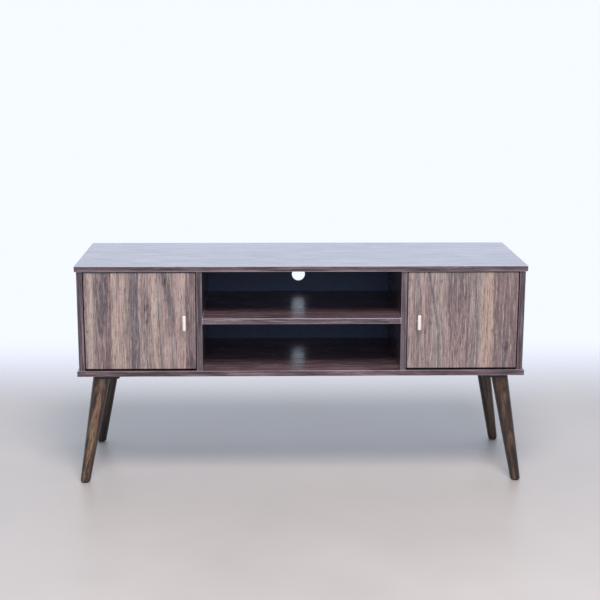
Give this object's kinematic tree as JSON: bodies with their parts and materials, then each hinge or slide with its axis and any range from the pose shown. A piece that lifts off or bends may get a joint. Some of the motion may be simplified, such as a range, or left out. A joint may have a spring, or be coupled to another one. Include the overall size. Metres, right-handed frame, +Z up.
{
  "type": "tv stand with doors",
  "caption": "Low TV stand in dark walnut laminate: open centre bay with a shelf, an inset hinged door each side with a short pale brass bar handle, on splayed tapered round legs.",
  "frame": {"origin": "on the floor, at the middle of the whole stand's outline seen from above, handles included", "axes": "+X to the right seen from the front, +Y to the back, +Z up; the doors face -Y"},
  "size_m": [1.2048, 0.403, 0.6],
  "materials": {
    "carcass_laminate": "dark walnut laminate, satin",
    "door_laminate": "weathered walnut laminate with upright grain, satin",
    "back_board": "dark coated fibreboard, matt",
    "pale_brass": "polished pale gold",
    "nickel_steel": "nickel plated",
    "zinc_steel": "bright zinc plated",
    "catch_plastic": "moulded brown plastic",
    "magnet": "dark ceramic magnet",
    "cam_metal": "die-cast zinc",
    "beech": "bare fluted beech",
    "black_steel": "black powder coat",
    "leg_wood": "dark walnut stain, satin lacquer",
    "glide_plastic": "brown nylon"
  },
  "bodies": {
    "cabinet": {"back_panel_screws": "zinc_steel", "bottom_panel": "carcass_laminate", "cam_bolts": "zinc_steel", "cam_locks": "cam_metal", "catch_magnets": "magnet", "catch_pole_plates": "zinc_steel", "catch_screws": "zinc_steel", "centre_back_panel": "back_board", "centre_shelf": "carcass_laminate", "confirmat_screws": "zinc_steel", "dowels": "beech", "foot_glides": "glide_plastic", "front_left_leg": "leg_wood", "front_left_leg_plate": "black_steel", "front_right_leg": "leg_wood", "front_right_leg_plate": "black_steel", "hanger_bolts": "zinc_steel", "hinge_arm_screws": "zinc_steel", "hinge_plate_screws": "zinc_steel", "left_back_panel": "back_board", "left_catch": "catch_plastic", "left_divider": "carcass_laminate", "left_lower_hinge_arm": "nickel_steel", "left_lower_hinge_plate": "nickel_steel", "left_side_panel": "carcass_laminate", "left_upper_hinge_arm": "nickel_steel", "left_upper_hinge_plate": "nickel_steel", "leg_plate_screws": "black_steel", "rear_left_leg": "leg_wood", "rear_left_leg_plate": "black_steel", "rear_right_leg": "leg_wood", "rear_right_leg_plate": "black_steel", "right_back_panel": "back_board", "right_catch": "catch_plastic", "right_divider": "carcass_laminate", "right_lower_hinge_arm": "nickel_steel", "right_lower_hinge_plate": "nickel_steel", "right_side_panel": "carcass_laminate", "right_upper_hinge_arm": "nickel_steel", "right_upper_hinge_plate": "nickel_steel", "top_panel": "carcass_laminate"},
    "left_door": {"left_door": "door_laminate", "left_handle": "pale_brass", "left_handle_screw": "zinc_steel", "left_lower_hinge_cup": "nickel_steel", "left_upper_hinge_cup": "nickel_steel", "left_hinge_pins": "zinc_steel", "left_cup_screws": "zinc_steel", "left_strike_plate": "nickel_steel", "left_strike_screw": "zinc_steel"},
    "right_door": {"right_door": "door_laminate", "right_handle": "pale_brass", "right_handle_screw": "zinc_steel", "right_lower_hinge_cup": "nickel_steel", "right_upper_hinge_cup": "nickel_steel", "right_hinge_pins": "zinc_steel", "right_cup_screws": "zinc_steel", "right_strike_plate": "nickel_steel", "right_strike_screw": "zinc_steel"}
  },
  "joints": [
    {"name": "left_door_hinge", "type": "hinge", "parent": "cabinet", "child": "left_door", "pos_m": [-0.5685, -0.168, 0.4515], "axis": [0, 0, -1], "range_deg": [0, 95]},
    {"name": "right_door_hinge", "type": "hinge", "parent": "cabinet", "child": "right_door", "pos_m": [0.5685, -0.168, 0.4515], "axis": [0, 0, 1], "range_deg": [0, 95]}
  ]
}
